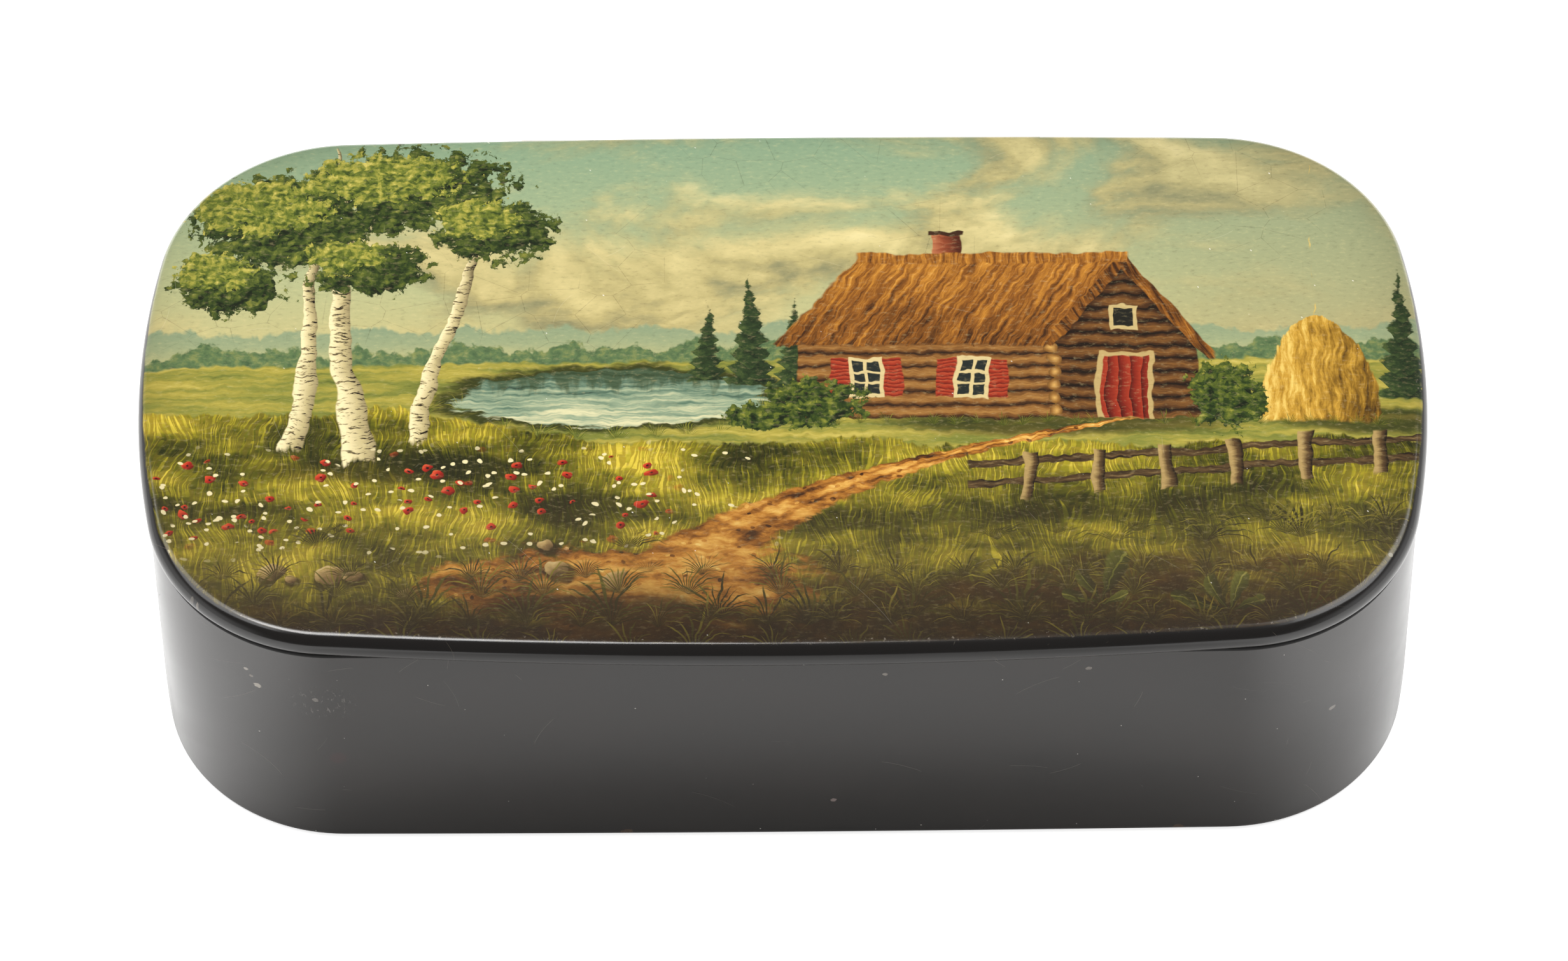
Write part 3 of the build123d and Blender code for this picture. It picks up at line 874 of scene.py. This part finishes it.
def paint_landscape(board):
    """The picture on the lid, drawn with a slightly unsteady hand."""
    slow, quick = board.noise((0.17, 0.17), (3.0, 5.0), 1), board.noise((0.6, 0.6), (8.0, 2.0), 1)
    left_right, up_down = (slow - 0.5) * 1.4 + (quick - 0.5) * 0.4, (slow - quick) * 0.8
    c = Canvas(board.tree, board.join(board.x + left_right, board.y + up_down))
    for paint in (paint_sky, paint_far_trees, paint_meadow, paint_pond, paint_spruces):
        paint(c)
    paint_shadow(c, 73.0, -7.3, 15.0, 2.4, 0.75)
    paint_haystack(c, 66.5, -7.5, 9.0, 17.0)
    paint_shadow(c, 34.0, -7.6, 27.0, 2.6, 0.8)
    paint_cottage(c)
    weeds = c.x.between(-2.0, 76.0, 2.0) * c.y.between(-8.6, -5.6, 0.3) * abs(c.x - 42.5).fade(2.6, 4.0)
    paint_tufts(c, 2.9, (0.4, 8.2), weeds, ("1c230b", "55601f", "96933c"), 53.0, 1.5)
    bushes = ((4, -4.5, 7, 4.5), (55, -3.5, 5.5, 6), (-3, -6.5, 5, 2.5))
    paint_crown(c, bushes, ("101c0b", "2c401a", "5c6a2a", "9a9a45"), 0.6, 6.0)
    paint_near_ground(c)
    paint_shadow(c, -47.0, -14.0, 22.0, 2.6, 0.75)
    for paint in (paint_birches, paint_flowers, paint_path, paint_stones, paint_fence, paint_foreground):
        paint(c)
    board.picture = c.picture


def new_material(name):
    """A material with its shader and a canvas on the piece's own rest place."""
    material = bpy.data.materials.new(name)
    material.use_nodes = True
    tree = material.node_tree
    shader = tree.nodes["Principled BSDF"]
    place = add_node(tree, "TexCoord").outputs["Object"]
    scale = add_node(tree, "Mapping", Vector=place, Scale=[1 / MM] * 3)
    return material, shader, Canvas(tree, scale.outputs[0])


def paint_chips(c, up, chips, crumble):
    """Chips at x and up, each with its size in millimetres and its colour."""
    for x, height, size, code in chips:
        away = apart(c.x - x, up - height) / size + crumble
        c.paint(code, away.fade(1.0, 0.75))


def make_lacquer(name, deep, pale, worn, chips=()):
    """Polished lacquer with marks of age, and, where it has chips in its front, a band at its mouth painted
    darker as the shade of the seam under the lid.
    """
    material, shader, c = new_material(name)
    wear = c.group(WEAR, Place=c.place)
    c.picture = c.ramp(wear["Mottle"] * 1.8 - 0.4, deep, pale)
    c.paint(worn, wear["Scratches"] * 0.3)
    c.paint("e9e5dc", wear["Dust"] * 0.6)
    rough = wear["Mottle"] * 0.16 + wear["Scratches"] * 0.2 + 0.13
    if chips:
        front = c.join(c.x, c.z)
        behind = c.y.fade(-10.0, 0.0) * 99.0
        crumble = (c.noise((1.1, 1.1), (3.0, 3.0), 3, 0.7, place=front) - 0.5) * 1.3 + behind
        rubbed = apart((c.x + 56.5) / 5.0, (c.z - 28.0) / 4.0) + behind
        hairs = c.noise((2.6, 1.0), (1.0, 4.0), 3, 0.6, 0.6, place=front).fade(0.6, 0.68)
        c.paint("a09a94", hairs * rubbed.fade(1.0, 0.4) * 0.28)
        # Painted shade: the top of the wall under the lid's edge is darkened, and made rougher, to stand for
        # the seam's shadow
        seam_shade = c.z.between(*SEAM_SHADE_HEIGHTS, 0.08)
        c.paint("080605", seam_shade)
        rough = rough + seam_shade * 0.65
        paint_chips(c, c.z, chips, crumble)
    normal = c.relief(wear["Ripple"], 0.05)
    fill(shader, Base_Color=c.picture, Roughness=rough, IOR=LACQUER_IOR, Normal=normal)
    return material


def make_brass():
    """Drawn brass with darker tarnish."""
    material, shader, c = new_material("brass")
    wear = c.group(WEAR, Place=c.place)
    flat = c.all_round()
    stain = c.noise((0.22, 0.5), (2.0, 2.0), 6, 0.7, place=flat)
    drawn = c.noise((0.3, 14.0), (5.0, 5.0), 2, place=flat)
    c.picture = c.ramp(stain * 1.7 + drawn * 0.3 - 0.5, "6b5024", "a8843f", "c9a256", "d9b873")
    c.paint("ecd49a", wear["Scratches"] * 0.6)
    rough = 0.62 - stain * 0.5
    fill(shader, Base_Color=c.picture, Metallic=1.0, Roughness=rough, Normal=c.relief(drawn, 0.01))
    return material


def make_painted_lid():
    """The landscape under varnish, with a black lacquered rim that is broad in front and narrow behind."""
    material, shader, c = new_material("painted_lid")
    paint_landscape(c)
    paint_age(c)
    rim = add_node(c.tree, "Attribute")
    rim.attribute_name = "rim"
    ragged = (c.noise((0.25, 0.25), (4.0, 4.0), 3) - 0.5) * 0.3
    edge = Field(c.tree, rim.outputs["Fac"]) - (0.66 - c.y * 0.0165).most(0.3) + ragged
    c.paint("14110f", edge.fade(0.12, -0.12))
    flakes = c.noise((1.3, 1.3), (6.0, 1.0), 3, 0.7).fade(0.66, 0.7) * edge.between(0.0, 0.7, 0.25)
    c.paint("8d8375", flakes * 0.5)
    crumble = c.noise((1.5, 1.5), (2.0, 6.0), 2, 0.7) - 0.5
    paint_chips(c, c.y, LID_CHIPS, crumble)
    wear = c.group(WEAR, Place=c.place)
    c.paint("b9ad94", wear["Scratches"] * 0.12)
    c.paint("f4efe2", wear["Dust"] * 0.7)
    rough = wear["Mottle"] * 0.12 + wear["Scratches"] * 0.15 + 0.1
    fill(shader, Base_Color=c.picture, Roughness=rough, Normal=c.relief(wear["Ripple"], 0.05))
    return material


LACQUER_IOR = 1.56
# Heights in millimetres of the band at the wall's mouth, under the lid's edge, that is painted darker as the
# seam's shade
SEAM_SHADE_HEIGHTS = (37.3, 37.95)
# Chips in the front of the wall, each at x, z in millimetres with its size and its colour
WALL_CHIPS = (
    (-65.9, 31.6, 0.36, "9d968c"), (-65.3, 30.6, 0.25, "756d63"), (-64.5, 29.1, 0.5, "a39b8f"),
    (-57.5, 28.6, 0.4, "6f6963"), (-55.3, 16.8, 1.1, "33201e"), (12.2, 33.4, 0.35, "827b72"),
    (5.9, 7.4, 0.4, "80726e"), (37.0, 34.2, 0.4, "766f68"), (67.5, 20.5, 0.4, "7b756e"),
    (-20.0, 0.9, 0.8, "4e3a2a"), (49.0, 0.7, 0.7, "4e3a2a"))
# Chips in the edge of the lid, each at x, y in the same way
LID_CHIPS = (
    (-72.2, -32.5, 0.32, "5d5750"), (-71.5, -33.2, 0.25, "766f66"), (74.0, -27.9, 0.32, "8a8472"))

black = make_lacquer("black_lacquer", "1b1816", "26211e", "8f8880", WALL_CHIPS)
red = make_lacquer("red_lacquer", "77180f", "8c2216", "c98a74")
painted = make_painted_lid()
brass = make_brass()


def make_wall():
    """The wound wall, with the hinge's groove and pocket in its back and the rebate for the bottom board."""
    loops = body_loops(rounding(FOOT_ROUND, ROUND_STEPS))
    loops += hinge_edge(BODY_RING, BODY_HEIGHT, 1, MOUTH_ROUND, AXIS_Y - BODY_WIDTH / 2)
    rebate = WALL - BASE_REBATE
    loops += body_loops(((WALL, BODY_HEIGHT), (WALL, BASE_TOP), (rebate, BASE_TOP), (rebate, 0.0)))
    return loops_to_mesh("wound_wall", loops, [0] * len(loops), True, [black])


def make_collar():
    """The liner inside the wall, with a rounded lip that the lid drops over."""
    outside, inside = WALL + GLUE_LINE, WALL + GLUE_LINE + COLLAR
    foot = collar_low.z
    lip = list(rounding(LIP_ROUND, LIP_STEPS))
    spots = [(outside, foot)] + [(outside + inset, LIP_TOP - drop) for inset, drop in reversed(lip)]
    spots += [(inside - inset, LIP_TOP - drop) for inset, drop in lip] + [(inside, foot)]
    loops = body_loops(spots)
    return loops_to_mesh("collar", loops, [0] * len(loops), True, [red])


def make_base():
    """The bottom board, black underneath and red inside."""
    edge = WALL - BASE_REBATE + GLUE_LINE
    under = ring_points(BODY_RING, edge + BASE_EDGE, 0.0)
    over = ring_points(BODY_RING, edge + BASE_EDGE, BASE_TOP)
    loops = list(shrinking(under, (0.1, 0.4, 0.7, 1.0)))
    loops += body_loops(((edge, BASE_EDGE), (edge, BASE_TOP - BASE_EDGE)))
    loops += shrinking(over, (1.0, 0.7, 0.4, 0.1))
    return loops_to_mesh("bottom_board", loops, [0] * 5 + [1] * 4, False, [black, red])


def make_lid():
    """The crowned lid: painted top, rounded edge, the hinge's groove and pocket, and a red recess."""
    loops, rims, finishes = [], [], []

    def add(loop, finish, rim=0.0):
        loops.append(loop)
        finishes.append(finish)
        rims.append(rim)

    def on_crown(inset):
        loop = ring_points(LID_RING, inset, 0.0)
        loop[:, 2] = crown(loop[:, 0], loop[:, 1])
        return loop

    insets = (6.0, 4.5, 3.4, 2.6, 2.1)
    nested = (0.03, 0.15, 0.3, 0.45, 0.6, 0.75, 0.88)
    for share, loop in zip(nested, shrinking(on_crown(insets[0] * MM), nested, crown)):
        add(loop, 0, insets[0] + FIELD_RIM * (1 - share))
    for inset in insets:
        add(on_crown(inset * MM), 0, inset)
    shoulder = on_crown(LID_TOP_ROUND)[:, 2]
    for inset, drop in rounding(LID_TOP_ROUND, TOP_ROUND_STEPS):
        add(ring_points(LID_RING, inset, shoulder - drop), 0, inset / MM)
    for loop in hinge_edge(LID_RING, LID_FOOT, -1, LID_FOOT_ROUND, 0.0):
        add(loop, 1)
    add(ring_points(BODY_RING, RECESS_INSET - RECESS_BEVEL, LID_FOOT), 1)
    add(ring_points(BODY_RING, RECESS_INSET, LID_FOOT + RECESS_BEVEL), 2)
    add(ring_points(BODY_RING, RECESS_INSET, RECESS_TOP - CEILING_BEVEL), 2)
    ceiling = ring_points(BODY_RING, RECESS_INSET + CEILING_BEVEL, RECESS_TOP)
    for loop in shrinking(ceiling, (1.0, 0.75, 0.5, 0.25, 0.05)):
        add(loop, 2)
    return loops_to_mesh("painted_lid", loops, finishes, False, [painted, black, red], rims)


for piece, body, node, slot in ((make_wall(), "body", "body_wall", "black_lacquer"),
                                (make_collar(), "body", "inner_collar", "red_lacquer"),
                                (make_base(), "body", "base_board", "black_lacquer"),
                                (make_lid(), "lid", "lid_board", "painted_lacquer")):
    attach(piece, body)
    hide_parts(node)

for name in ("body_hinge_leaf", "lid_hinge_leaf", "body_knuckles", "lid_knuckles", "hinge_pin",
             "body_leaf_nails", "lid_leaf_nails"):
    node = frame["nodes"][name]
    node.data.materials.clear()
    node.data.materials.append(brass)


# Camera: the photograph's own view, from a camera fitted to the edges of the box
PHOTO_WIDTH = 2464
FOCAL_PX = 12954
PITCH, YAW, ROLL = math.radians(52.0), math.radians(0.104), math.radians(-0.551)
DISTANCE = 1.0396
AIM = Vector((0.0, 0.0, 0.020))
CENTRE_PX = Vector((1231.3 - 1232, 763.7 - 755))


def make_camera():
    """The camera, a little above the box and in front of it."""
    data = bpy.data.cameras.new("photo_camera")
    data.sensor_width = 36.0
    data.lens = FOCAL_PX * data.sensor_width / PHOTO_WIDTH
    data.shift_x = -CENTRE_PX.x / PHOTO_WIDTH
    data.shift_y = CENTRE_PX.y / PHOTO_WIDTH
    data.clip_start = 0.05
    camera = add_object("photo_camera", data)
    away = Vector((math.sin(YAW) * math.cos(PITCH), -math.cos(YAW) * math.cos(PITCH), math.sin(PITCH)))
    camera.location = AIM + DISTANCE * away
    turn = (-away).to_track_quat("-Z", "Y") @ Quaternion((0, 0, 1), ROLL)
    camera.rotation_euler = turn.to_euler()
    bpy.context.scene.camera = camera


make_camera()

# How much the floor is lifted for the camera, and for the lacquer in front of the box and past its ends
FLOOR_LIFT, FRONT_LIFT, END_LIFT = 0.75, 0.16, 0.9
# The grey all round, and what is added to it low down at the sides
EVEN_LIGHT, SIDE_LIGHT = 0.25, 1.1


def make_floor():
    """A plain pale floor, white to the camera, that the lacquer mirrors brighter beyond the ends."""
    reach = 2.0
    mesh = bpy.data.meshes.new("floor")
    corners = [(-reach, -reach, 0), (reach, -reach, 0), (reach, reach, 0), (-reach, reach, 0)]
    mesh.from_pydata(corners, [], [(0, 1, 2, 3)])
    floor = add_object("floor", mesh)
    material, shader, c = new_material("floor")
    fill(shader, Base_Color=colour("f0efed"), Roughness=0.9, Emission_Color=(1, 1, 1, 1))
    path = add_node(c.tree, "LightPath").outputs
    camera, glossy = Field(c.tree, path["Is Camera Ray"]), Field(c.tree, path["Is Glossy Ray"])
    ahead, beyond = c.y.fade(-45.0, -72.0), abs(c.x).fade(55.0, 92.0)
    mirrored = beyond * END_LIFT + ahead * FRONT_LIFT
    fill(shader, Emission_Strength=camera * FLOOR_LIFT + glossy * mirrored)
    mesh.materials.append(material)


make_floor()


def make_surroundings():
    """An even grey round the box, brighter low down at both sides."""
    world = bpy.context.scene.world or bpy.data.worlds.new("studio")
    bpy.context.scene.world = world
    world.use_nodes = True
    tree = world.node_tree
    c = Canvas(tree, add_node(tree, "TexCoord").outputs["Generated"])
    sides = abs(c.x).fade(0.5, 0.95) * c.z.fade(0.65, 0.3)
    fill(tree.nodes["Background"], Color=(1, 1, 1, 1), Strength=sides * SIDE_LIGHT + EVEN_LIGHT)


def make_light(name, place, size, power):
    """A soft lamp turned to the box."""
    data = bpy.data.lights.new(name, "AREA")
    data.shape = "RECTANGLE"
    data.size, data.size_y = size
    data.energy = power
    lamp = add_object(name, data)
    lamp.location = place
    lamp.rotation_euler = (-Vector(place)).to_track_quat("-Z", "Y").to_euler()


make_light("left_softbox", (-0.66, 0.22, 1.15), (0.95, 0.75), 7.4)
make_light("right_softbox", (0.66, 0.22, 1.15), (0.95, 0.75), 9.2)
make_light("left_strip", (-0.21, 0.20, 1.2), (0.30, 0.36), 5.0)
make_surroundings()

bpy.context.scene.view_settings.view_transform = "Standard"
